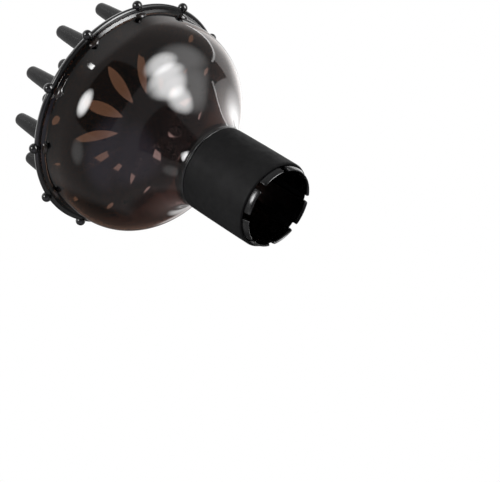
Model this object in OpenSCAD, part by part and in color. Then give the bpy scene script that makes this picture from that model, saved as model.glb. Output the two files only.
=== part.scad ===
// Hair dryer diffuser: a smoked bowl with a snap-on finger plate, on a slotted clamp collar
// that pushes over the nozzle of a dryer and is gripped by a rubber sleeve.
// Millimetres. The origin is on the axis, in the plane of the collar's mouth, and +Z runs
// from the collar towards the prongs.

/* [Collar] */
// Inner radius of the clamp tube, where the dryer's nozzle sits
bore_r = 23.3; // [22:0.1:24.5]
// Wall of the clamp tube
tube_wall = 2; // [1.6:0.1:2.2]
// Wall of the rubber grip sleeve
sleeve_wall = 1.65; // [1.2:0.05:2.2]
// Height of the collar, from its mouth to the bowl's neck
collar_h = 55; // [50:1:62]
// Length of clamp finger that shows below the sleeve
fingertip_h = 4.5; // [3:0.5:7]
// Number of clamp fingers, with a slot between each two
slot_count = 8; // [6:1:10]
// Width of each slot
slot_w = 4.1; // [2:0.1:5]
// Length of each slot, from the mouth
slot_h = 38; // [25:1:44]
// Turn of the slots about the axis, in degrees
slot_turn = 20; // [0:1:45]

/* [Bowl] */
// Wall of the bowl
bowl_wall = 2; // [1.8:0.1:2.2]
// Outer radius of the bowl at the top of its shoulder
bowl_r = 69.3; // [68:0.1:71]
// Lean of the neck from vertical where it leaves the collar, in degrees
neck_lean = 13; // [10:1:16]
// Steepest lean of the flare, where it turns into the shoulder, in degrees
flare_lean = 62; // [58:1:64]
// Radius of the concave flare, seen from the side
flare_r = 49.5; // [46:0.5:52]
// Height of the nearly upright wall between the shoulder and the rim
wall_h = 13.6; // [12:0.2:15]
// How far the wall leans outwards over that height
wall_draft = 0.5; // [0.3:0.1:0.8]
// How far the rim flange stands out from the wall
flange_out = 1.9; // [1.5:0.1:2.1]
// Height of the rim flange
flange_t = 2.4; // [2:0.1:2.8]
// Radius of the round bosses under the flange
boss_r = 3.6; // [3:0.1:4]

/* [Finger plate] */
// Thickness of the plate
plate_t = 2.2; // [1.8:0.1:2.6]
// Depth of the deflector cone's point below the edge of the plate
cone_depth = 35.5; // [30:0.1:37]
// How fast the cone flares: its depth falls to 37 % over each such step of radius
cone_spread = 21; // [20:0.1:22]
// Radius at which the deflector cone ends and the plate starts
cone_r = 19; // [18:0.5:20]
// Radius of the bead's round section
bead_r = 3.8; // [3.6:0.1:4.2]
// Number of round nubs, and of prongs in each ring
nub_count = 12; // [8, 10, 12]
// Radius of each round nub
nub_r = 3.15; // [2.8:0.05:3.2]
// Number of tabs that centre the plate inside the bowl
tab_count = 6; // [3, 4, 6]
// Width of each tab
tab_w = 6; // [4:0.5:8]
// Length of each tab below the rim
tab_h = 10; // [7:0.5:11]

/* [Vents] */
// Length of each petal-shaped vent
petal_len = 28.5; // [24:0.5:30]
// Width of each petal-shaped vent at its middle
petal_w = 8; // [6:0.5:8.5]
// Radius at which the petals are centred
petal_ring_r = 35.2; // [34.8:0.1:35.6]
// Radius of the small round vents near the rim
vent_r = 3.6; // [2.5:0.1:3.6]
// Radius of the ring of round vents
vent_ring_r = 62.4; // [61.6:0.1:62.6]

/* [Prongs] */
// Radius of the ring of long outer prongs
outer_ring_r = 59.6; // [58.8:0.1:59.6]
// Radius of the ring of shorter inner prongs
inner_ring_r = 44.4; // [44:0.1:45]
// Height of the outer prongs above their seats
outer_prong_h = 37.2; // [20:0.1:50]
// Height of the inner prongs above their seats
inner_prong_h = 34.6; // [20:0.1:50]
// Radius of a prong just above its foot
prong_base_r = 6.3; // [5.8:0.1:6.3]
// Radius of a prong just below its rounded tip
prong_tip_r = 4.1; // [3.6:0.1:4.4]
// Wall of the hollow prongs
prong_wall = 1.5; // [1.2:0.1:1.8]

/* [Hidden] */

smoke = [0.25, 0.17, 0.16, 0.75];
gloss_black = [0.06, 0.06, 0.065];
rubber_black = [0.14, 0.14, 0.145];

arc_steps = 20;
round_fn = 96;
small_fn = 32;
past = 1;

// Collar: the tube, its flange and the spigot that snaps into the bowl
tube_r = bore_r + tube_wall;
slide_gap = 0.05;
sleeve_in_r = tube_r + slide_gap;
sleeve_r = sleeve_in_r + sleeve_wall;
flange_h = 1.3;
collar_flange_r = sleeve_r - 0.2;
sleeve_top = collar_h - flange_h - 0.2;
sleeve_edge = 0.7;
mouth_chamfer = 0.8;
tip_chamfer_h = 2;
neck_r = tube_r + 0.7;
socket_r = neck_r - bowl_wall;
spigot_r = socket_r - slide_gap;
spigot_wall = 1.8;
spigot_h = 7.6;
socket_h = 4.4;
snap_out = 0.55;
snap_h = 2;

// Bowl: a concave flare, a convex shoulder and an upright wall, tangent to each other
neck_lip_r = neck_r + 0.6;
neck_lip_h = 2;
turn_r = neck_r + flare_r * (cos(neck_lean) - cos(flare_lean));
turn_z = collar_h + flare_r * (sin(flare_lean) - sin(neck_lean));
flare_centre = [neck_r + flare_r * cos(neck_lean), collar_h - flare_r * sin(neck_lean)];
shoulder_r = (bowl_r - turn_r) / (1 - cos(flare_lean));
shoulder_z = turn_z + shoulder_r * sin(flare_lean);
shoulder_centre = [bowl_r - shoulder_r, shoulder_z];
rim_z = shoulder_z + wall_h;
rim_r = bowl_r + wall_draft;
flange_r = rim_r + flange_out;
flange_round = 0.3;
boss_face_r = flange_r - 0.4;
boss_z = rim_z - 0.8;
boss_taper = 0.7;

// Rim: where the finger plate sits on the bowl
nub_pitch = 360 / nub_count;
bead_ring_r = rim_r + 0.7;
bead_z = rim_z + 1.1;
nub_ring_r = bead_ring_r + bead_r + 0.35;
nub_z = rim_z + 1.8;
lip_r = flange_r + 1;
lip_round = 1.6;
plug_r = rim_r - bowl_wall - 1.2;
plug_w = 2.6;
tab_t = 1.6;

// Plate: its underside dips to a point at the centre, and its top follows at plate_t
plate_edge_z = rim_z - 0.3;
plate_steps = 7;
cone_steps = 16;
outer_seat_z = rim_z + 0.8;
inner_seat_z = rim_z - 1.2;
foot_round = 0.5;
seat_r = prong_base_r + foot_round;
tip_round = 2.8;
prong_roof = 2.4;
hollow_base_r = prong_base_r - prong_wall;
hollow_tip_r = prong_tip_r - prong_wall;

// Points along an arc, from angle a to angle b
function arc(centre, r, a, b, steps = arc_steps) =
    [for (i = [0:steps]) let (t = a + (b - a) * i / steps) centre + r * [cos(t), sin(t)]];

// Height of the plate's underside at radius r
function under_z(r) = plate_edge_z - cone_depth * exp(-r / cone_spread);

// Slope of the plate's underside at radius r
function under_slope(r) = cone_depth / cone_spread * exp(-r / cone_spread);

// Height of the plate's top at radius r, plate_t away from the underside
function top_z(r) = under_z(r) + plate_t * sqrt(1 + pow(under_slope(r), 2));

// The dished sheet between two radii, as an outline
function dish(r1, r2, steps) = concat(
    [for (i = [0:steps]) let (r = r1 + (r2 - r1) * i / steps) [r, under_z(r)]],
    [for (i = [steps:-1:0]) let (r = r1 + (r2 - r1) * i / steps) [r, top_z(r)]]);

// Copies of a child round the axis
module ring(count, turn = 0) {
    for (i = [0:count - 1])
        rotate([0, 0, turn + i * 360 / count])
            children();
}

// Slotted tube with a flange for the bowl to sit on and a snap-in spigot
module clamp_tube() {
    spigot_in_r = spigot_r - spigot_wall;
    spigot_top = collar_h + spigot_h;
    snap_z = spigot_top - snap_h;
    outline = [
        [bore_r + mouth_chamfer, 0],
        [tube_r - mouth_chamfer, 0],
        [tube_r, tip_chamfer_h],
        [tube_r, collar_h - flange_h],
        [collar_flange_r - 0.3, collar_h - flange_h],
        [collar_flange_r, collar_h - flange_h + 0.3],
        [collar_flange_r, collar_h],
        [spigot_r, collar_h],
        [spigot_r, snap_z],
        [spigot_r + snap_out, snap_z + 0.5],
        [spigot_r, spigot_top],
        [spigot_in_r, spigot_top],
        [spigot_in_r, collar_h],
        [bore_r, collar_h - 0.4],
        [bore_r, mouth_chamfer]
    ];
    color(gloss_black)
        difference() {
            rotate_extrude($fn = round_fn)
                polygon(outline);
            ring(slot_count, slot_turn)
                clamp_slot();
        }
}

// One slot in the clamp tube, with a round end
module clamp_slot() {
    depth = tube_wall + 3;
    translate([bore_r - past, 0, 0]) {
        translate([0, -slot_w / 2, -past])
            cube([depth, slot_w, slot_h - slot_w / 2 + past]);
        translate([0, 0, slot_h - slot_w / 2])
            rotate([0, 90, 0])
                cylinder(r = slot_w / 2, h = depth, $fn = small_fn);
    }
}

// Rubber sleeve over the clamp tube, with rounded edges
module grip_sleeve() {
    outline = concat(
        [[sleeve_in_r, fingertip_h]],
        arc([sleeve_r - sleeve_edge, fingertip_h + sleeve_edge], sleeve_edge, -90, 0, 5),
        arc([sleeve_r - sleeve_edge, sleeve_top - sleeve_edge], sleeve_edge, 0, 90, 5),
        [[sleeve_in_r, sleeve_top]]);
    color(rubber_black)
        rotate_extrude($fn = round_fn)
            polygon(outline);
}

// Smoked bowl: neck lip, flare, shoulder, wall and rim flange
module bowl() {
    flange_z = rim_z - flange_t;
    outside = concat(
        [[socket_r, collar_h], [neck_lip_r, collar_h], [neck_lip_r, collar_h + neck_lip_h]],
        [for (p = arc(flare_centre, flare_r, 180 - neck_lean, 180 - flare_lean))
            if (p[1] > collar_h + neck_lip_h) p],
        arc(shoulder_centre, shoulder_r, -flare_lean, 0),
        [[rim_r, flange_z], [rim_r + 0.5, flange_z + 0.2], [flange_r, flange_z + 1.5]],
        arc([flange_r - flange_round, rim_z - flange_round], flange_round, 0, 90, 4));
    inside = concat(
        [[rim_r - bowl_wall, rim_z]],
        arc(shoulder_centre, shoulder_r - bowl_wall, 0, -flare_lean),
        [for (p = arc(flare_centre, flare_r + bowl_wall, 180 - flare_lean, 180 - neck_lean))
            if (p[1] > collar_h + socket_h + 1) p],
        [[socket_r, collar_h + socket_h]]);
    color(smoke) {
        rotate_extrude($fn = round_fn)
            polygon(concat(outside, inside));
        ring(nub_count)
            rim_boss();
    }
}

// A round boss under the rim flange, in line with a nub
module rim_boss() {
    root_r = rim_r - bowl_wall / 2;
    boss_h = boss_face_r - root_r;
    difference() {
        translate([root_r, 0, boss_z])
            rotate([0, 90, 0])
                cylinder(r1 = boss_r + boss_taper, r2 = boss_r, h = boss_h, $fn = small_fn);
        translate([root_r - past, -2 * boss_r, boss_z])
            cube([boss_h + 2 * past, 4 * boss_r, 2 * boss_r]);
    }
}

// Dished plate with its bead, nubs, tabs, prong seats and vents
module finger_plate() {
    color(gloss_black)
        difference() {
            union() {
                rotate_extrude($fn = round_fn)
                    polygon(dish(cone_r, plug_r - plug_w + 0.5, plate_steps));
                rim_bead();
                ring(nub_count)
                    translate([nub_ring_r, 0, nub_z])
                        sphere(r = nub_r, $fn = small_fn);
                ring(tab_count, nub_pitch / 4)
                    centring_tab();
                ring(nub_count)
                    prong_seat(outer_ring_r, outer_seat_z);
                ring(nub_count, nub_pitch / 2)
                    prong_seat(inner_ring_r, inner_seat_z);
            }
            ring(nub_count)
                prong_hollow_hole(outer_ring_r, outer_seat_z);
            ring(nub_count, nub_pitch / 2)
                prong_hollow_hole(inner_ring_r, inner_seat_z);
            ring(nub_count)
                prong_foot_room();
            ring(nub_count)
                petal_vent();
            ring(nub_count, nub_pitch / 2)
                round_vent();
        }
}

// The plate's edge: a plug that drops inside the bowl, a flat seat on the bowl's flange and a
// round bead outside and above them
module rim_bead() {
    plug_in_r = plug_r - plug_w;
    outline = concat(
        [[plug_in_r, under_z(plug_in_r)], [plug_r, under_z(plug_r)], [plug_r, rim_z]],
        arc([lip_r, rim_z + lip_round], lip_round, -90, -10, 6),
        arc([bead_ring_r, bead_z], bead_r, 15, 165, 20),
        [[plug_in_r, top_z(plug_in_r)]]);
    rotate_extrude($fn = round_fn)
        polygon(outline);
}

// A tab that hangs inside the bowl's wall and centres the plate
module centring_tab() {
    tab_z = rim_z - tab_h;
    intersection() {
        translate([plug_r - tab_t - past, -tab_w / 2, tab_z])
            cube([tab_t + 2 * past, tab_w, tab_h - 1]);
        difference() {
            cylinder(r = plug_r, h = rim_z, $fn = round_fn);
            translate([0, 0, tab_z - past])
                cylinder(r = plug_r - tab_t, h = tab_h + 2 * past, $fn = round_fn);
        }
    }
}

// A flat round boss for one prong to stand on
module prong_seat(ring_r, seat_z) {
    base_z = under_z(ring_r) + plate_t / 2;
    translate([ring_r, 0, base_z])
        cylinder(r = seat_r, h = seat_z - base_z, $fn = small_fn);
}

// The hole under a hollow prong
module prong_hollow_hole(ring_r, seat_z) {
    translate([ring_r, 0, seat_z - 10])
        cylinder(r = hollow_base_r, h = 10 + past, $fn = small_fn);
}

// Room for the foot of an outer prong, where it stands against the slope up to the bead
module prong_foot_room() {
    translate([outer_ring_r, 0, outer_seat_z])
        cylinder(r = seat_r, h = bead_r, $fn = small_fn);
}

// A petal-shaped vent along a radius: two long arcs that meet at blunt ends
module petal_vent() {
    half_len = petal_len / 2 + 0.7;
    half_w = petal_w / 2;
    side_r = (pow(half_len, 2) + pow(half_w, 2)) / (2 * half_w);
    cut_h = cone_depth + 10;
    translate([petal_ring_r, 0, plate_edge_z - cone_depth])
        intersection() {
            translate([0, side_r - half_w, 0])
                cylinder(r = side_r, h = cut_h, $fn = round_fn);
            translate([0, half_w - side_r, 0])
                cylinder(r = side_r, h = cut_h, $fn = round_fn);
            cylinder(r = petal_len / 2, h = cut_h, $fn = small_fn);
        }
}

// A small round vent near the rim
module round_vent() {
    translate([vent_ring_r, 0, rim_z - 8])
        cylinder(r = vent_r, h = 16, $fn = small_fn);
}

// Hollow trumpet-shaped cone at the centre of the plate, point down
module deflector_cone() {
    color(gloss_black)
        rotate_extrude($fn = round_fn)
            polygon(dish(0, cone_r, cone_steps));
}

// One hollow prong, standing at the origin
module prong(h) {
    taper = atan((prong_base_r - prong_tip_r) / h);
    tip_centre = [prong_tip_r - tip_round, h - tip_round];
    outline = concat(
        [[hollow_base_r, 0], [seat_r, 0]],
        arc([prong_base_r + foot_round, foot_round], foot_round, 270, 180, 5),
        arc(tip_centre, tip_round, taper, 90, 8),
        [[0, h], [0, h - prong_roof], [hollow_tip_r, h - prong_roof]]);
    rotate_extrude($fn = small_fn)
        polygon(outline);
}

// Long prongs, in line with the nubs
module outer_prongs() {
    color(gloss_black)
        ring(nub_count)
            translate([outer_ring_r, 0, outer_seat_z])
                prong(outer_prong_h);
}

// Shorter prongs, between the petal vents
module inner_prongs() {
    color(gloss_black)
        ring(nub_count, nub_pitch / 2)
            translate([inner_ring_r, 0, inner_seat_z])
                prong(inner_prong_h);
}

clamp_tube();
grip_sleeve();
bowl();
finger_plate();
deflector_cone();
outer_prongs();
inner_prongs();
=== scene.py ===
import math

import bpy
from mathutils import Matrix, Vector
from mathutils.geometry import delaunay_2d_cdt


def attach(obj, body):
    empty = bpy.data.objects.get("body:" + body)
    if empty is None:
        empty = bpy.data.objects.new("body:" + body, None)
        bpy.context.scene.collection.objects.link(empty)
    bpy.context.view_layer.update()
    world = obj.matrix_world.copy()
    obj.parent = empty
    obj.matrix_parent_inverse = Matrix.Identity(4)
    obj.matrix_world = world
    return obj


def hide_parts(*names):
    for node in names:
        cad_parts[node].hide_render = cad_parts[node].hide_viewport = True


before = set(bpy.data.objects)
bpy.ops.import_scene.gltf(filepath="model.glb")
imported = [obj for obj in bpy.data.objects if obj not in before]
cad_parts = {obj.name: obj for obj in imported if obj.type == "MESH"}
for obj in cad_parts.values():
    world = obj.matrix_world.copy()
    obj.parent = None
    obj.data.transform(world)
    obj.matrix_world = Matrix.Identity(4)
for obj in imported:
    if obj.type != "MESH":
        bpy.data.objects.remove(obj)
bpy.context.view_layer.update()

# Everything below is in millimetres, in the shared frame, and MM turns it into metres
MM = 0.001

# Steps round the axis for the large rings, round one prong and round a small hole
AROUND = 240
PRONG_AROUND = 56
HOLE_AROUND = 40

# Collar
BORE_R = 23.3
TUBE_R = 25.3
SLOTS = 8
SLOT_TURN = 20
SLOT_HALF = 2.05
SLOT_H = 38
FLANGE_Z = 53.7
COLLAR_H = 55
TIP_CHAMFER = 0.8
TIP_CHAMFER_H = 2
TUBE_MIDDLE_R = 24.3
SLEEVE_IN_R = 25.35
SLEEVE_R = 27
SLEEVE_LOW = 4.5
SLEEVE_HIGH = 53.5
SOCKET_R = 24
SPIGOT_R = 23.95

# Radius of the collar's mouth when the tube is opened out flat
FLAT_R = 25

# Bowl
WALL = 2
NECK_R = 26
NECK_LEAN = 13
FLARE_LEAN = 62
FLARE_R = 49.5
BOWL_R = 69.3
WALL_H = 13.6
RIM_R = 69.8
FLANGE_R = 71.7
FLANGE_T = 2.4

# Finger plate
PLATE_T = 2.2
CONE_DEPTH = 35.5
CONE_SPREAD = 21
CONE_R = 19
PLUG_R = 66.6
SHEET_R = 66.3
FILLET_FROM_R = 62
FILLET_W = 4.83
FILLET_UP = 2.04
BEAD_RING_R = 70.5
BEAD_R = 3.8
LIP_R = 72.7
LIP_ROUND = 1.6
NUBS = 12
NUB_R = 3.15
NUB_OUT = 0.35
PETAL_LEN = 28.5
PETAL_W = 8
PETAL_RING_R = 35.2
VENT_R = 3.4
VENT_RING_R = 62.3
TABS = 6
TAB_W = 6
TAB_H = 10
TAB_T = 1.6

# Prongs
OUTER_RING_R = 59.6
INNER_RING_R = 44.4
OUTER_PRONG_H = 37.2
INNER_PRONG_H = 34.6
PRONG_BASE_R = 6.3
PRONG_TIP_R = 4.1
PRONG_WALL = 1.5
SEAT_R = 6.8

# Heights that follow from the bowl's curves
TURN_R = NECK_R + FLARE_R * (math.cos(math.radians(NECK_LEAN)) - math.cos(math.radians(FLARE_LEAN)))
TURN_Z = COLLAR_H + FLARE_R * (math.sin(math.radians(FLARE_LEAN)) - math.sin(math.radians(NECK_LEAN)))
FLARE_AT = (NECK_R + FLARE_R * math.cos(math.radians(NECK_LEAN)),
            COLLAR_H - FLARE_R * math.sin(math.radians(NECK_LEAN)))
SHOULDER_R = (BOWL_R - TURN_R) / (1 - math.cos(math.radians(FLARE_LEAN)))
SHOULDER_Z = TURN_Z + SHOULDER_R * math.sin(math.radians(FLARE_LEAN))
SHOULDER_AT = (BOWL_R - SHOULDER_R, SHOULDER_Z)
RIM_Z = SHOULDER_Z + WALL_H
BEAD_Z = RIM_Z + 1.1
NUB_Z = RIM_Z + 1.8
PLATE_EDGE_Z = RIM_Z - 0.3
OUTER_SEAT_Z = RIM_Z + 0.8
INNER_SEAT_Z = RIM_Z - 1.2


# ---------------------------------------------------------------- shapes

def arc(centre, radius, start, end, steps=12):
    """Points of an arc in the plane of a profile, angles in degrees."""
    points = []
    for i in range(steps + 1):
        a = math.radians(start + (end - start) * i / steps)
        points.append((centre[0] + radius * math.cos(a), centre[1] + radius * math.sin(a)))
    return points


def rounded(corners, steps=5):
    """A closed profile whose corners (r, z, radius) are turned into arcs."""
    points = []
    count = len(corners)
    for i, (r, z, radius) in enumerate(corners):
        here = Vector((r, z))
        before = Vector(corners[i - 1][:2]) - here
        after = Vector(corners[(i + 1) % count][:2]) - here
        if radius <= 0 or before.length < 1e-6 or after.length < 1e-6:
            points.append((r, z))
            continue
        half = before.angle(after) / 2
        reach = radius / math.tan(half) if half > 0.01 else 0
        reach = min(reach, before.length * 0.49, after.length * 0.49)
        a = here + before.normalized() * reach
        b = here + after.normalized() * reach
        for k in range(steps + 1):
            t = k / steps
            p = a * (1 - t) ** 2 + here * 2 * t * (1 - t) + b * t ** 2
            points.append((p.x, p.y))
    return points


def lathe(profile, steps=AROUND, closed=True, at=(0, 0, 0)):
    """Vertices and faces of a profile turned about an upright axis at a point."""
    verts = []
    faces = []
    rows = []
    for r, z in profile:
        if r < 1e-6:
            rows.append([len(verts)] * steps)
            verts.append((at[0], at[1], at[2] + z))
            continue
        rows.append(list(range(len(verts), len(verts) + steps)))
        for k in range(steps):
            a = 2 * math.pi * k / steps
            verts.append((at[0] + r * math.cos(a), at[1] + r * math.sin(a), at[2] + z))
    last = len(rows) if closed else len(rows) - 1
    for i in range(last):
        low = rows[i]
        high = rows[(i + 1) % len(rows)]
        for k in range(steps):
            n = (k + 1) % steps
            face = []
            for v in (low[k], low[n], high[n], high[k]):
                if v not in face:
                    face.append(v)
            if len(face) > 2:
                faces.append(tuple(face))
    return verts, faces


def turned(shape, degrees):
    """A shape turned about the main axis."""
    c = math.cos(math.radians(degrees))
    s = math.sin(math.radians(degrees))
    verts = [(x * c - y * s, x * s + y * c, z) for x, y, z in shape[0]]
    return verts, shape[1]


def joined(*shapes):
    """Several shapes as one list of vertices and faces."""
    verts = []
    faces = []
    for v, f in shapes:
        base = len(verts)
        verts.extend(v)
        faces.extend(tuple(i + base for i in face) for face in f)
    return verts, faces


def loop_normals(loop, material_inside):
    """For each point of a flat loop, the direction that leaves the material."""
    count = len(loop)
    area = 0
    for i in range(count):
        x0, y0 = loop[i]
        x1, y1 = loop[(i + 1) % count]
        area += x0 * y1 - x1 * y0
    sign = 1 if (area > 0) == material_inside else -1
    normals = []
    for i in range(count):
        x0, y0 = loop[i - 1]
        x1, y1 = loop[(i + 1) % count]
        length = math.hypot(x1 - x0, y1 - y0) or 1
        normals.append((sign * (y1 - y0) / length, sign * (x0 - x1) / length))
    return normals


def inside_loop(x, y, loop):
    """Whether a point is inside a flat loop."""
    found = False
    j = len(loop) - 1
    for i in range(len(loop)):
        xi, yi = loop[i]
        xj, yj = loop[j]
        if (yi > y) != (yj > y) and x < (xj - xi) * (y - yi) / (yj - yi) + xi:
            found = not found
        j = i
    return found


def pierced_sheet(outer, holes, inner_points, front, back, lip=0.3, open_outer=False):
    """A sheet with holes: triangles on both faces, and a rounded lip along each loop.

    outer and holes are flat loops, and front and back turn a flat point into a point in
    space. An open outer loop is left without a lip, for another shape to carry on from.
    """
    loops = [(outer, True)] + [(h, False) for h in holes]
    flat = []
    edges = []
    shrunk = []
    for loop, material_inside in loops:
        reach = 0 if (open_outer and material_inside) else lip
        normals = loop_normals(loop, material_inside)
        moved = [(p[0] - n[0] * reach, p[1] - n[1] * reach) for p, n in zip(loop, normals)]
        shrunk.append(moved)
        base = len(flat)
        flat.extend(moved)
        edges.extend((base + i, base + (i + 1) % len(moved)) for i in range(len(moved)))
    boxes = []
    for loop in shrunk[1:]:
        xs = [p[0] for p in loop]
        ys = [p[1] for p in loop]
        boxes.append((min(xs), max(xs), min(ys), max(ys), loop))

    def in_a_hole(x, y, margin=0.0):
        for x0, x1, y0, y1, loop in boxes:
            if x0 - margin < x < x1 + margin and y0 - margin < y < y1 + margin:
                if inside_loop(x, y, loop):
                    return True
                if margin and min((p[0] - x) ** 2 + (p[1] - y) ** 2 for p in loop) < margin ** 2:
                    return True
        return False

    clear_of_edges = 0.5
    flat.extend(p for p in inner_points if not in_a_hole(p[0], p[1], clear_of_edges))
    result = delaunay_2d_cdt([Vector(p) for p in flat], edges, [], 0, 1e-5)
    points = [(p.x, p.y) for p in result[0]]
    triangles = []
    for a, b, c in result[2]:
        x = (points[a][0] + points[b][0] + points[c][0]) / 3
        y = (points[a][1] + points[b][1] + points[c][1]) / 3
        if inside_loop(x, y, shrunk[0]) and not in_a_hole(x, y):
            triangles.append((a, b, c))
    verts = [front(*p) for p in points] + [back(*p) for p in points]
    size = len(points)
    faces = list(triangles) + [(c + size, b + size, a + size) for a, b, c in triangles]
    turn = 4
    for loop, material_inside in loops:
        if open_outer and material_inside:
            continue
        normals = loop_normals(loop, material_inside)
        rings = []
        for side in (0, 1):
            for k in range(turn + 1):
                phi = math.pi / 2 * (k if side == 0 else turn - k) / turn
                ring = []
                inset = lip * (1 - math.sin(phi))
                for p, n in zip(loop, normals):
                    q = (p[0] - n[0] * inset, p[1] - n[1] * inset)
                    f = Vector(front(*q))
                    b = Vector(back(*q))
                    depth = lip * (1 - math.cos(phi)) / max((f - b).length, 0.1)
                    at = f.lerp(b, depth) if side == 0 else b.lerp(f, depth)
                    ring.append(tuple(at))
                rings.append(ring)
        base = len(verts)
        count = len(loop)
        for ring in rings:
            verts.extend(ring)
        for k in range(len(rings) - 1):
            for i in range(count):
                n = (i + 1) % count
                faces.append((base + k * count + i, base + k * count + n,
                              base + (k + 1) * count + n, base + (k + 1) * count + i))
    return verts, faces


def solid(name, shape, body, material, nodes, crease=38):
    """A mesh piece from a shape, riding with a body and standing for its CAD nodes."""
    verts, faces = shape
    mesh = bpy.data.meshes.new(name)
    mesh.from_pydata([(x * MM, y * MM, z * MM) for x, y, z in verts], [], faces)
    mesh.validate()
    piece = bpy.data.objects.new(name, mesh)
    bpy.context.scene.collection.objects.link(piece)
    bpy.context.view_layer.objects.active = piece
    bpy.ops.object.select_all(action="DESELECT")
    piece.select_set(True)
    bpy.ops.object.mode_set(mode="EDIT")
    bpy.ops.mesh.select_all(action="SELECT")
    bpy.ops.mesh.remove_doubles(threshold=0.004 * MM)
    bpy.ops.mesh.normals_make_consistent(inside=False)
    bpy.ops.object.mode_set(mode="OBJECT")
    for polygon in mesh.polygons:
        polygon.use_smooth = True
    mesh.set_sharp_from_angle(angle=math.radians(crease))
    mesh.materials.append(material)
    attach(piece, body)
    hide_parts(*nodes)


def polar(radius, degrees):
    """A flat point at a radius and an angle."""
    a = math.radians(degrees)
    return radius * math.cos(a), radius * math.sin(a)


def circle_loop(x, y, radius, steps=HOLE_AROUND):
    """A flat round loop."""
    return [(x + radius * math.cos(2 * math.pi * k / steps),
             y + radius * math.sin(2 * math.pi * k / steps)) for k in range(steps)]


# ---------------------------------------------------------------- materials

def shader(name, base, rough):
    """A Principled material and its node tree."""
    material = bpy.data.materials.new(name)
    material.use_nodes = True
    tree = material.node_tree
    surface = tree.nodes["Principled BSDF"]
    surface.inputs["Base Color"].default_value = (*base, 1)
    surface.inputs["Roughness"].default_value = rough
    coordinates = tree.nodes.new("ShaderNodeTexCoord")
    return material, tree, surface, coordinates.outputs["Object"]


def noise(tree, where, scale, detail=4, rough=0.55, stretch=(1, 1, 1)):
    """Procedural noise at a scale per metre, stretched if asked."""
    mapping = tree.nodes.new("ShaderNodeMapping")
    mapping.inputs["Scale"].default_value = stretch
    texture = tree.nodes.new("ShaderNodeTexNoise")
    texture.inputs["Scale"].default_value = scale
    texture.inputs["Detail"].default_value = detail
    texture.inputs["Roughness"].default_value = rough
    tree.links.new(where, mapping.inputs["Vector"])
    tree.links.new(mapping.outputs["Vector"], texture.inputs["Vector"])
    return texture.outputs["Fac"]


def spread(tree, value, low, high, start=0.3, end=0.7):
    """A noise value spread over a range."""
    node = tree.nodes.new("ShaderNodeMapRange")
    node.inputs["From Min"].default_value = start
    node.inputs["From Max"].default_value = end
    node.inputs["To Min"].default_value = low
    node.inputs["To Max"].default_value = high
    tree.links.new(value, node.inputs["Value"])
    return node.outputs["Result"]


def tint(tree, value, first, second):
    """A colour between two, by a value."""
    ramp = tree.nodes.new("ShaderNodeValToRGB")
    ramp.color_ramp.elements[0].color = (*first, 1)
    ramp.color_ramp.elements[1].color = (*second, 1)
    ramp.color_ramp.elements[0].position = 0.35
    ramp.color_ramp.elements[1].position = 0.65
    tree.links.new(value, ramp.inputs["Fac"])
    return ramp.outputs["Color"]


def relief(tree, surface, heights, strength, distance):
    """Fine relief from one or more height values."""
    total = heights[0]
    for height in heights[1:]:
        node = tree.nodes.new("ShaderNodeMath")
        node.operation = "ADD"
        tree.links.new(total, node.inputs[0])
        tree.links.new(height, node.inputs[1])
        total = node.outputs[0]
    bump = tree.nodes.new("ShaderNodeBump")
    bump.inputs["Strength"].default_value = strength
    bump.inputs["Distance"].default_value = distance
    tree.links.new(total, bump.inputs["Height"])
    tree.links.new(bump.outputs["Normal"], surface.inputs["Normal"])


def smoked_plastic():
    """Polished smoke-brown plastic, uneven, with faint wipe marks; its tint is lighter towards the
    neck as painted light showing through there.
    """
    material, tree, surface, where = shader("smoked_plastic", (0.09, 0.04, 0.023), 0.03)
    surface.inputs["Transmission Weight"].default_value = 1
    surface.inputs["IOR"].default_value = 1.5
    cloud = noise(tree, where, 18, 3)
    rim_tint = tint(tree, cloud, (0.082, 0.038, 0.021), (0.094, 0.045, 0.026))
    # Painted light: the lighter tint at the neck stands in for light showing through the plastic
    # there
    lit_neck_tint = tint(tree, cloud, (0.20, 0.125, 0.115), (0.22, 0.14, 0.13))
    parts = tree.nodes.new("ShaderNodeSeparateXYZ")
    tree.links.new(where, parts.inputs[0])
    # Heights over which the painted light at the neck gives way to the darker tint at the rim
    lit_neck_below = 0.072
    rim_tint_above = 0.096
    fade = spread(tree, parts.outputs["Z"], 0, 1, lit_neck_below, rim_tint_above)
    # Sockets 0, 6 and 7 of a colour mix are its factor and its two colours, and 2 is its result
    mix = tree.nodes.new("ShaderNodeMix")
    mix.data_type = "RGBA"
    tree.links.new(fade, mix.inputs[0])
    tree.links.new(lit_neck_tint, mix.inputs[6])
    tree.links.new(rim_tint, mix.inputs[7])
    tree.links.new(mix.outputs[2], surface.inputs["Base Color"])
    wipes = noise(tree, where, 60, 5, 0.6, (1, 1, 5))
    tree.links.new(spread(tree, wipes, 0.015, 0.06), surface.inputs["Roughness"])
    relief(tree, surface, [noise(tree, where, 30, 1)], 0.04, 0.0004)
    return material


def boss_plastic():
    """The same plastic where it is thick: nearly opaque."""
    material, tree, surface, where = shader("thick_smoked_plastic", (0.012, 0.009, 0.007), 0.08)
    cloud = noise(tree, where, 90, 3)
    colour = tint(tree, cloud, (0.010, 0.008, 0.006), (0.016, 0.011, 0.009))
    tree.links.new(colour, surface.inputs["Base Color"])
    tree.links.new(spread(tree, cloud, 0.14, 0.24), surface.inputs["Roughness"])
    return material


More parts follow.
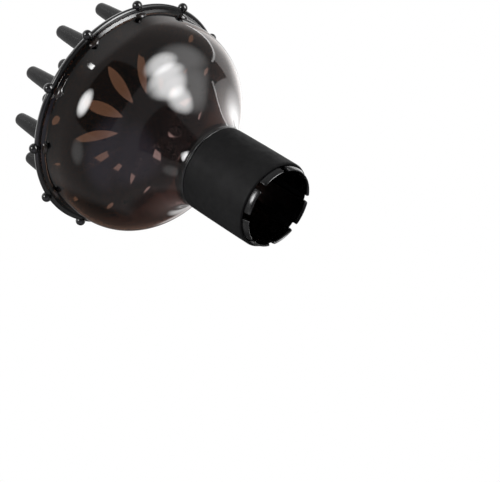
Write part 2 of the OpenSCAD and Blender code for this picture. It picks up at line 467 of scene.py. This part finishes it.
def black_plastic(name, base, rough, rough_spread, grain, relief_strength, specular=0.5):
    """Black moulded plastic: uneven gloss, fine grain, faint rub marks and dust."""
    material, tree, surface, where = shader(name, (base, base, base * 1.05), rough)
    surface.inputs["Specular IOR Level"].default_value = specular
    cloud = noise(tree, where, 40, 4)
    dark = (base * 0.8, base * 0.8, base * 0.84)
    light = (base * 1.3, base * 1.3, base * 1.36)
    tree.links.new(tint(tree, cloud, dark, light), surface.inputs["Base Color"])
    rubs = noise(tree, where, 150, 6, 0.65, (1, 1, 0.2))
    roughness = spread(tree, rubs, rough - rough_spread, rough + rough_spread)
    tree.links.new(roughness, surface.inputs["Roughness"])
    heights = [noise(tree, where, grain, 2), noise(tree, where, 45, 1)]
    relief(tree, surface, heights, relief_strength, 0.0002)
    return material


def rubber():
    """Matt soft-touch rubber with a fine grain and a trace of dust."""
    material, tree, surface, where = shader("grip_rubber", (0.011, 0.011, 0.0115), 0.62)
    surface.inputs["Specular IOR Level"].default_value = 0.12
    dust = noise(tree, where, 70, 6, 0.7)
    colour = tint(tree, dust, (0.0066, 0.0066, 0.0069), (0.0094, 0.0094, 0.0098))
    tree.links.new(colour, surface.inputs["Base Color"])
    tree.links.new(spread(tree, noise(tree, where, 220, 4), 0.52, 0.7), surface.inputs["Roughness"])
    relief(tree, surface, [noise(tree, where, 2600, 2), noise(tree, where, 900, 2)], 0.25, 0.00006)
    return material


SMOKED = smoked_plastic()
THICK = boss_plastic()
GLOSS = black_plastic("gloss_black", 0.008, 0.13, 0.05, 900, 0.12)
PRONG = black_plastic("prong_black", 0.0055, 0.27, 0.07, 1800, 0.18, 0.3)
TUBE = black_plastic("collar_black", 0.009, 0.20, 0.06, 1400, 0.15)
GRIP = rubber()


# ---------------------------------------------------------------- collar

def tube_out(z):
    """Outer radius of the clamp tube at a height."""
    return TUBE_R - TIP_CHAMFER * max(0, 1 - z / TIP_CHAMFER_H)


def tube_in(z):
    """Inner radius of the clamp tube at a height."""
    return BORE_R + TIP_CHAMFER * max(0, 1 - z / TIP_CHAMFER)


def unrolled(z, degrees):
    """A point of the tube opened out flat: its height becomes a radius."""
    return polar(FLAT_R + z, degrees)


def tube_point(x, y, radius_at):
    """The point of the tube that an opened-out point stands for."""
    z = math.hypot(x, y) - FLAT_R
    a = math.atan2(y, x)
    r = radius_at(z)
    return r * math.cos(a), r * math.sin(a), z


def mouth_loop():
    """The lower edge of the opened-out tube: round corners, and up and down each slot."""
    half = math.degrees(math.asin(SLOT_HALF / TUBE_MIDDLE_R))
    corner = 0.8
    corner_turn = math.degrees(corner / TUBE_MIDDLE_R)
    corner_steps = 4
    side_steps = 15
    end_steps = 16
    tip_steps = 20
    end_z = SLOT_H - SLOT_HALF
    side_h = end_z - corner
    tip_turn = 360 / SLOTS - 2 * half - 2 * corner_turn
    loop = []
    for k in range(SLOTS):
        middle = SLOT_TURN + k * 360 / SLOTS
        for i in range(corner_steps + 1):
            t = math.radians(90 * i / corner_steps)
            loop.append(unrolled(corner * (1 - math.cos(t)),
                                 middle - half - corner_turn * (1 - math.sin(t))))
        for i in range(1, side_steps):
            loop.append(unrolled(corner + side_h * i / side_steps, middle - half))
        for i in range(end_steps + 1):
            t = math.pi * (1 - i / end_steps)
            loop.append(unrolled(end_z + SLOT_HALF * math.sin(t), middle + half * math.cos(t)))
        for i in range(1, side_steps):
            loop.append(unrolled(end_z - side_h * i / side_steps, middle + half))
        for i in range(corner_steps + 1):
            t = math.radians(90 * (1 - i / corner_steps))
            loop.append(unrolled(corner * (1 - math.cos(t)),
                                 middle + half + corner_turn * (1 - math.sin(t))))
        for i in range(1, tip_steps):
            loop.append(unrolled(0, middle + half + corner_turn + tip_turn * i / tip_steps))
    return loop


def make_clamp_tube():
    """Slotted tube with rounded slots, the flange under the bowl and the snap-in spigot."""
    rows = 27
    stagger = 0.75
    edge = 0.28
    top = [unrolled(FLANGE_Z + 0.3, 360 * k / AROUND) for k in range(AROUND)]
    inner = []
    for i in range(1, rows):
        z = FLANGE_Z * i / rows
        inner.extend(unrolled(z, 360 * k / AROUND + (i % 2) * stagger) for k in range(AROUND))
    tube = pierced_sheet(top, [mouth_loop()], inner, lambda x, y: tube_point(x, y, tube_out),
                         lambda x, y: tube_point(x, y, tube_in), edge)
    flange_r = SLEEVE_R - 0.2
    overlap_z = FLANGE_Z - 0.6
    spigot_in_r = SPIGOT_R - 1.8
    snap_r = SPIGOT_R + 0.55
    snap_z = 61.1
    spigot_top = 62.6
    ring = rounded([
        (BORE_R, overlap_z, 0),
        (TUBE_R, overlap_z, 0),
        (TUBE_R, FLANGE_Z, 0),
        (flange_r, FLANGE_Z, 0.3),
        (flange_r, COLLAR_H, 0.25),
        (SPIGOT_R, COLLAR_H, 0),
        (SPIGOT_R, snap_z - 0.5, 0.2),
        (snap_r, snap_z, 0.3),
        (SPIGOT_R, spigot_top, 0.4),
        (spigot_in_r, spigot_top, 0.4),
        (spigot_in_r, COLLAR_H, 0.5),
        (BORE_R, COLLAR_H - 0.4, 0.3)])
    return joined(tube, lathe(ring))


def make_sleeve():
    """Rubber sleeve with soft edges, very slightly barrelled as a stretched sleeve is."""
    edge = 0.9
    barrel = 0.10
    bevel = 0.15
    steps = 24
    low = SLEEVE_LOW + edge
    high = SLEEVE_HIGH - edge
    edge_at = SLEEVE_R - barrel - edge
    bulge = []
    for i in range(steps + 1):
        t = i / steps
        bulge.append((SLEEVE_R - barrel * (2 * t - 1) ** 2, low + (high - low) * t))
    lower = arc((edge_at, low), edge, -90, 0, 7)
    upper = arc((edge_at, high), edge, 0, 90, 7)
    inside = [(SLEEVE_IN_R, SLEEVE_HIGH - bevel), (SLEEVE_IN_R, SLEEVE_LOW + bevel)]
    start = [(SLEEVE_IN_R + bevel, SLEEVE_LOW)]
    end = [(SLEEVE_IN_R + bevel, SLEEVE_HIGH)]
    return lathe(start + lower[:-1] + bulge + upper[1:] + end + inside)


# ---------------------------------------------------------------- bowl

def make_bowl():
    """Smoked bowl: neck lip, flare, shoulder, upright wall and rim flange."""
    flange_z = RIM_Z - FLANGE_T
    foot_z = COLLAR_H + 0.02
    lip_r = NECK_R + 0.6
    lip_z = COLLAR_H + 2
    socket_z = COLLAR_H + 4.4
    flare_steps = 60
    shoulder_steps = 48
    start = 180 - NECK_LEAN
    end = 180 - FLARE_LEAN
    flare_out = [p for p in arc(FLARE_AT, FLARE_R, start, end, flare_steps) if p[1] > lip_z + 0.8]
    shoulder_out = arc(SHOULDER_AT, SHOULDER_R, -FLARE_LEAN, 0, shoulder_steps)
    shoulder_in = arc(SHOULDER_AT, SHOULDER_R - WALL, 0, -FLARE_LEAN, shoulder_steps)
    flare_in = [p for p in arc(FLARE_AT, FLARE_R + WALL, end, start, flare_steps)
                if p[1] > socket_z + 1.2]
    corners = [(SOCKET_R, foot_z, 0.25), (lip_r, foot_z, 0.45), (lip_r, lip_z, 0.5)]
    corners += [(r, z, 0) for r, z in flare_out + shoulder_out[1:]]
    corners += [
        (BOWL_R + 0.25, SHOULDER_Z + 6, 0),
        (RIM_R, flange_z - 0.6, 0.4),
        (RIM_R + 0.5, flange_z + 0.2, 0.3),
        (FLANGE_R, flange_z + 1.5, 0.5),
        (FLANGE_R, RIM_Z, 0.3),
        (RIM_R - WALL, RIM_Z, 0.3)]
    corners += [(r, z, 0) for r, z in shoulder_in + flare_in[1:]]
    corners += [(SOCKET_R, socket_z, 0.3)]
    return lathe(rounded(corners))


def make_bosses():
    """The round boss under the flange at each nub: a domed half disc."""
    face = FLANGE_R - 0.4
    root = RIM_R - 0.02
    flat_z = RIM_Z - 0.8
    profile = [(4.3, 0), (4.1, 0.5), (3.8, 0.95), (3.3, 1.25), (2.4, 1.4), (1.2, 1.45), (0, 1.46)]
    flatter = 0.88
    shapes = []
    steps = 40
    for k in range(NUBS):
        verts = []
        faces = []
        for r, out in profile:
            for i in range(steps):
                a = 2 * math.pi * i / steps
                z = min(flat_z + r * math.sin(a) * flatter, flat_z)
                y = r * math.cos(a)
                x = min(math.sqrt(root ** 2 - y ** 2) + out, face)
                verts.append((x, y, z))
        for j in range(len(profile) - 1):
            for i in range(steps):
                n = (i + 1) % steps
                faces.append((j * steps + i, j * steps + n,
                              (j + 1) * steps + n, (j + 1) * steps + i))
        shapes.append(turned((verts, faces), k * 360 / NUBS))
    return joined(*shapes)


# ---------------------------------------------------------------- finger plate

def under_z(r):
    """Height of the plate's underside."""
    return PLATE_EDGE_Z - CONE_DEPTH * math.exp(-r / CONE_SPREAD)


def top_z(r):
    """Height of the plate's top, with the fillet up to the bead."""
    slope = CONE_DEPTH / CONE_SPREAD * math.exp(-r / CONE_SPREAD)
    z = under_z(r) + PLATE_T * math.sqrt(1 + slope ** 2)
    rise = max(0, (r - FILLET_FROM_R) / FILLET_W)
    return z + (RIM_Z + FILLET_UP - z) * rise ** 2


def petal_loop(turn):
    """The outline of one petal vent: two long arcs that meet at blunt ends."""
    steps = 30
    half_len = PETAL_LEN / 2 + 0.7
    half_w = PETAL_W / 2
    side_r = (half_len ** 2 + half_w ** 2) / (2 * half_w)
    side = []
    for i in range(steps + 1):
        x = PETAL_LEN / 2 * math.cos(math.pi * i / steps)
        y = math.sqrt(side_r ** 2 - x ** 2) - (side_r - half_w)
        limit = math.sqrt(max((PETAL_LEN / 2) ** 2 - x ** 2, 0))
        side.append((x, min(y, limit)))
    flat = side + [(x, -y) for x, y in reversed(side[1:-1])]
    c = math.cos(math.radians(turn))
    s = math.sin(math.radians(turn))
    return [((x + PETAL_RING_R) * c - y * s, (x + PETAL_RING_R) * s + y * c) for x, y in flat]


def make_plate():
    """Dished sheet with petals, vents and prong holes, its rim bead, nubs, tabs and seats."""
    pitch = 360 / NUBS
    holes = [[polar(CONE_R, 360 * k / AROUND) for k in range(AROUND)]]
    hollow = PRONG_BASE_R - PRONG_WALL
    for k in range(NUBS):
        holes.append(petal_loop(k * pitch))
        holes.append(circle_loop(*polar(VENT_RING_R, (k + 0.5) * pitch), VENT_R))
        holes.append(circle_loop(*polar(OUTER_RING_R, k * pitch), hollow))
        holes.append(circle_loop(*polar(INNER_RING_R, (k + 0.5) * pitch), hollow))
    outer = [polar(SHEET_R, 360 * k / AROUND) for k in range(AROUND)]
    point_gap = 1.8
    row_gap = 1.5
    inner = []
    r = CONE_R + 1
    row = 0
    while r < SHEET_R - 0.5:
        count = int(2 * math.pi * r / point_gap)
        inner.extend(polar(r, 360 * (k + 0.5 * (row % 2)) / count) for k in range(count))
        r += row_gap
        row += 1
    sheet = pierced_sheet(outer, holes, inner,
                          lambda x, y: (x, y, top_z(math.hypot(x, y))),
                          lambda x, y: (x, y, under_z(math.hypot(x, y))), 0.3, open_outer=True)
    plug_z = under_z(PLUG_R)
    seat_z = RIM_Z + 0.02
    rim = [
        (SHEET_R, under_z(SHEET_R)),
        (PLUG_R - 0.08, plug_z + 0.06),
        (PLUG_R, plug_z + 0.3),
        (PLUG_R, RIM_Z - 0.3),
        (PLUG_R + 0.1, RIM_Z - 0.05),
        (PLUG_R + 0.4, seat_z),
        (LIP_R - 0.6, seat_z)]
    rim += arc((LIP_R, seat_z + LIP_ROUND), LIP_ROUND, -90, -10, 10)
    rim += arc((BEAD_RING_R, BEAD_Z), BEAD_R, 12, 165, 40)
    rim += [(SHEET_R, top_z(SHEET_R))]
    shapes = [sheet, lathe(rim, AROUND, closed=False)]
    for k in range(NUBS):
        shapes.append(turned(make_nub(), k * pitch))
        shapes.append(make_seat(OUTER_RING_R, k * pitch, OUTER_SEAT_Z))
        shapes.append(make_seat(INNER_RING_R, (k + 0.5) * pitch, INNER_SEAT_Z))
    for k in range(TABS):
        shapes.append(turned(make_tab(), k * 360 / TABS + pitch / 4))
    return joined(*shapes)


def make_nub():
    """A round nub on the bead, with the small flat a moulded ball has at its pole."""
    profile = [(0, -NUB_R)]
    profile += arc((0, 0), NUB_R, -84, 80, 22)
    profile += [(0.3, NUB_R - 0.04), (0, NUB_R - 0.06)]
    return lathe(profile, 40, closed=False, at=(BEAD_RING_R + BEAD_R + NUB_OUT, 0, NUB_Z))


def make_seat(ring_r, turn, seat_z):
    """The boss a prong stands on, with a fillet at its foot and an open middle."""
    x, y = polar(ring_r, turn)
    low = under_z(ring_r) + 0.8 - seat_z
    foot = top_z(ring_r) - 0.35 - seat_z
    hollow = PRONG_BASE_R - PRONG_WALL + 0.02
    profile = [(hollow, low), (SEAT_R - 0.1, low), (SEAT_R + 0.75, foot)]
    profile += arc((SEAT_R + 0.8, foot + 0.95), 0.8, -90, -180, 5)
    profile += [(SEAT_R, -0.25), (SEAT_R - 0.2, 0), (hollow, 0)]
    return lathe(profile, PRONG_AROUND, at=(x, y, seat_z))


def make_tab():
    """A centring tab: a curved slab with rounded corners that hangs inside the wall."""
    middle = PLUG_R - TAB_T / 2
    low = RIM_Z - TAB_H
    high = under_z(PLUG_R) + 0.6
    half = TAB_W / 2
    round_r = 1.1
    steps = 6
    outline = arc((half - round_r, low + round_r), round_r, -90, 0, steps)
    outline += [(half - 0.05, high), (0.05 - half, high)]
    outline += arc((round_r - half, low + round_r), round_r, 180, 270, steps)
    inner = [(half * (2 * i / steps - 1), low + (high - low) * j / steps)
             for i in range(1, steps) for j in range(1, steps)]

    def place(s, z, r):
        a = s / middle
        return r * math.cos(a), r * math.sin(a), z

    return pierced_sheet(outline, [], inner, lambda s, z: place(s, z, PLUG_R - 0.02),
                         lambda s, z: place(s, z, PLUG_R - TAB_T), 0.25)


def make_cone():
    """The hollow trumpet-shaped deflector, point down, with a slightly blunted point."""
    steps = 60
    closer_at_point = 1.15
    low_radii = [CONE_R * (i / steps) ** closer_at_point for i in range(3, steps + 1)]
    high_radii = [CONE_R * (i / steps) for i in range(steps, 2, -1)]
    low = [(0, under_z(0) + 0.5), (0.25, under_z(0) + 0.56)]
    low += [(r, under_z(r)) for r in low_radii]
    high = [(r, top_z(r)) for r in high_radii]
    high += [(0.4, top_z(0.4)), (0, top_z(0.3))]
    return lathe(low + high, AROUND, closed=False)


# ---------------------------------------------------------------- prongs

def make_prong(ring_r, turn, seat_z, height):
    """One hollow prong: root fillet, long taper, domed tip with a small gate dimple."""
    x, y = polar(ring_r, turn)
    slope = (PRONG_BASE_R - PRONG_TIP_R) / height
    tip_round = 2.8
    foot_round = 0.9
    roof_z = height - 2.4
    hollow_r = PRONG_TIP_R - PRONG_WALL
    lift = 0.02
    profile = [(SEAT_R, lift), (SEAT_R - 0.06, 0.2)]
    profile += arc((PRONG_BASE_R + foot_round - slope, 1.2), foot_round, 225, 180, 4)
    profile += [(PRONG_BASE_R - slope * z, z) for z in (3, 6, 12, 18, 24, 30)]
    profile += arc((PRONG_TIP_R - tip_round, height - tip_round), tip_round, 2, 90, 12)
    profile += [(0.75, height), (0.6, height - 0.04), (0.45, height - 0.12), (0, height - 0.13)]
    inside = [(0, roof_z), (hollow_r - 0.6, roof_z),
              (hollow_r, height - 3), (PRONG_BASE_R - PRONG_WALL, lift)]
    return lathe(profile + inside, PRONG_AROUND, at=(x, y, seat_z))


def make_prongs(ring_r, offset, seat_z, height):
    """A full ring of prongs."""
    pitch = 360 / NUBS
    return joined(*[make_prong(ring_r, offset + k * pitch, seat_z, height) for k in range(NUBS)])


# ---------------------------------------------------------------- the object

solid("clamp_tube_piece", make_clamp_tube(), "collar", TUBE, ["clamp_tube"])
solid("grip_sleeve_piece", make_sleeve(), "sleeve", GRIP, ["grip_sleeve"])
solid("bowl_piece", make_bowl(), "bowl", SMOKED, ["bowl"], 60)
solid("bowl_bosses", make_bosses(), "bowl", THICK, ["bowl"], 60)
solid("finger_plate_piece", make_plate(), "finger_plate", GLOSS, ["finger_plate"])
solid("deflector_cone_piece", make_cone(), "finger_plate", GLOSS, ["deflector_cone"], 60)
solid("outer_prongs_piece", make_prongs(OUTER_RING_R, 0, OUTER_SEAT_Z, OUTER_PRONG_H),
      "finger_plate", PRONG, ["outer_prongs"], 50)
solid("inner_prongs_piece", make_prongs(INNER_RING_R, 180 / NUBS, INNER_SEAT_Z, INNER_PRONG_H),
      "finger_plate", PRONG, ["inner_prongs"], 50)


# ---------------------------------------------------------------- studio

def direction(azimuth, elevation):
    """A unit vector: azimuth 0 is towards -Y, positive towards +X."""
    a = math.radians(azimuth)
    e = math.radians(elevation)
    return Vector((math.sin(a) * math.cos(e), -math.cos(a) * math.cos(e), math.sin(e)))


def math_node(tree, operation, first, second):
    """A calculation with two values, each a socket or a number."""
    node = tree.nodes.new("ShaderNodeMath")
    node.operation = operation
    for index, value in enumerate((first, second)):
        if isinstance(value, (int, float)):
            node.inputs[index].default_value = value
        else:
            tree.links.new(value, node.inputs[index])
    return node.outputs[0]


def along(tree, where, axis):
    """How far the view direction goes along an axis."""
    node = tree.nodes.new("ShaderNodeVectorMath")
    node.operation = "DOT_PRODUCT"
    tree.links.new(where, node.inputs[0])
    node.inputs[1].default_value = axis
    return node.outputs["Value"]


def step(tree, value, start, end, low, high):
    """A smooth step from low to high."""
    node = tree.nodes.new("ShaderNodeMapRange")
    node.interpolation_type = "SMOOTHSTEP"
    node.inputs["From Min"].default_value = start
    node.inputs["From Max"].default_value = end
    node.inputs["To Min"].default_value = low
    node.inputs["To Max"].default_value = high
    tree.links.new(value, node.inputs["Value"])
    return node.outputs["Result"]


def round_light(tree, where, azimuth, elevation, radius, soft, strength):
    """A round soft light, its radius and soft edge in degrees."""
    towards = along(tree, where, direction(azimuth, elevation))
    outer = math.cos(math.radians(radius + soft))
    inner = math.cos(math.radians(max(radius - soft, 0)))
    return step(tree, towards, outer, inner, 0, strength)


def panel_light(tree, where, azimuth, elevation, wide, high, soft, strength):
    """A flat rectangular light with crisp edges, its half sizes and soft edge in degrees."""
    centre = direction(azimuth, elevation)
    side = Vector((0, 0, 1)).cross(centre).normalized()
    up = centre.cross(side)
    ahead = along(tree, where, centre)
    nearly_side_on = 0.02
    front = step(tree, ahead, nearly_side_on, 0.05, 0, 1)
    result = math_node(tree, "MULTIPLY", front, strength)
    for axis, half in ((side, wide), (up, high)):
        sideways = along(tree, where, axis)
        forwards = math_node(tree, "MAXIMUM", ahead, nearly_side_on)
        slope = math_node(tree, "DIVIDE", sideways, forwards)
        size = math_node(tree, "ABSOLUTE", slope, 0)
        outer = math.tan(math.radians(half + soft))
        inner = math.tan(math.radians(half - soft))
        result = math_node(tree, "MULTIPLY", result, step(tree, size, inner, outer, 1, 0))
    return result


def make_studio():
    """A white studio: softboxes and panels the object reflects, on a pure white ground."""
    world = bpy.data.worlds.new("studio")
    bpy.context.scene.world = world
    world.use_nodes = True
    tree = world.node_tree
    tree.nodes.clear()
    where = tree.nodes.new("ShaderNodeTexCoord").outputs["Generated"]
    lights = [
        # Dim patches: the room round the camera, and low behind the object
        panel_light(tree, where, 12, -20, 37, 41, 1, -0.28),
        round_light(tree, where, -128, 12, 34, 8, -0.3),
        # Key softbox at the picture's right, in two overlapping halves, with its halo
        round_light(tree, where, 82, -36, 12, 8, 15),
        round_light(tree, where, 98, -55, 12, 8, 18),
        round_light(tree, where, 104, -37, 23, 12, 2.6),
        # Second softbox at the picture's left, and a small square lamp above it
        round_light(tree, where, -3, 13, 8, 7, 26),
        panel_light(tree, where, 30, 42, 1.8, 1.8, 0.5, 24),
        # White panel behind the object at the right, with a bright edge and a brighter patch
        panel_light(tree, where, 163, 9, 25, 23, 1, 1.25),
        panel_light(tree, where, 139, 8, 1, 26, 0.5, 3.5),
        round_light(tree, where, 178, 6, 14, 12, 1.6),
        # Weak fill from above, two small lamps low down, and the light overhead
        round_light(tree, where, 60, 58, 26, 8, 0.35),
        round_light(tree, where, 158, 44, 30, 10, 0.6),
        round_light(tree, where, -47, 0, 8, 7, 1.1),
        round_light(tree, where, -161, 14, 6, 4, 1.6),
        round_light(tree, where, 0, 90, 34, 12, 1.2),
    ]
    total = 0.4
    for light in lights:
        total = math_node(tree, "ADD", light, total)
    glow = tree.nodes.new("ShaderNodeBackground")
    tree.links.new(total, glow.inputs["Strength"])
    cool = tree.nodes.new("ShaderNodeBackground")
    cool.inputs["Color"].default_value = (0.75, 0.70, 1, 1)
    tree.links.new(round_light(tree, where, -55, -48, 26, 16, 0.35), cool.inputs["Strength"])
    lit = tree.nodes.new("ShaderNodeAddShader")
    tree.links.new(glow.outputs[0], lit.inputs[0])
    tree.links.new(cool.outputs[0], lit.inputs[1])
    white = tree.nodes.new("ShaderNodeBackground")
    white.inputs["Color"].default_value = (1, 1, 1, 1)
    path = tree.nodes.new("ShaderNodeLightPath")
    # The ground is plain white to the camera, directly and through the smoked plastic
    seen = math_node(tree, "MAXIMUM", path.outputs["Is Camera Ray"],
                     path.outputs["Is Transmission Ray"])
    mix = tree.nodes.new("ShaderNodeMixShader")
    out = tree.nodes.new("ShaderNodeOutputWorld")
    tree.links.new(seen, mix.inputs[0])
    tree.links.new(lit.outputs[0], mix.inputs[1])
    tree.links.new(white.outputs[0], mix.inputs[2])
    tree.links.new(mix.outputs[0], out.inputs["Surface"])


def make_floor():
    """A plain pale floor under the collar's mouth, seen from above only."""
    radius = 4
    steps = 96
    verts = [(*polar(radius, 360 * k / steps), 0) for k in range(steps)]
    mesh = bpy.data.meshes.new("floor")
    mesh.from_pydata(verts, [], [tuple(range(steps))])
    floor = bpy.data.objects.new("floor", mesh)
    bpy.context.scene.collection.objects.link(floor)
    material, tree, surface, where = shader("floor", (0.86, 0.86, 0.86), 0.6)
    tree.links.new(tint(tree, noise(tree, where, 3, 3), (0.85, 0.85, 0.85), (0.88, 0.88, 0.88)),
                   surface.inputs["Base Color"])
    facing = tree.nodes.new("ShaderNodeNewGeometry")
    clear = tree.nodes.new("ShaderNodeBsdfTransparent")
    mix = tree.nodes.new("ShaderNodeMixShader")
    tree.links.new(facing.outputs["Backfacing"], mix.inputs[0])
    tree.links.new(surface.outputs[0], mix.inputs[1])
    tree.links.new(clear.outputs[0], mix.inputs[2])
    tree.links.new(mix.outputs[0], tree.nodes["Material Output"].inputs["Surface"])
    mesh.materials.append(material)
    floor.visible_glossy = False


def make_camera():
    """A long lens from below and in front, rolled so that the axis points to the upper left."""
    data = bpy.data.cameras.new("camera")
    data.lens = 97.9
    data.sensor_width = 36
    data.clip_start = 0.01
    data.clip_end = 20
    camera = bpy.data.objects.new("camera", data)
    bpy.context.scene.collection.objects.link(camera)
    right = Vector((0.44472, 0.57263, -0.68871)).normalized()
    up = Vector((0.88105, -0.14131, 0.45143))
    up = (up - right * up.dot(right)).normalized()
    turn = Matrix((right, up, right.cross(up))).transposed().to_4x4()
    turn.translation = Vector((101.9, -637.3, -439.5)) * MM
    camera.matrix_world = turn
    bpy.context.scene.camera = camera


make_studio()
make_floor()
make_camera()
bpy.context.scene.view_settings.view_transform = "Standard"
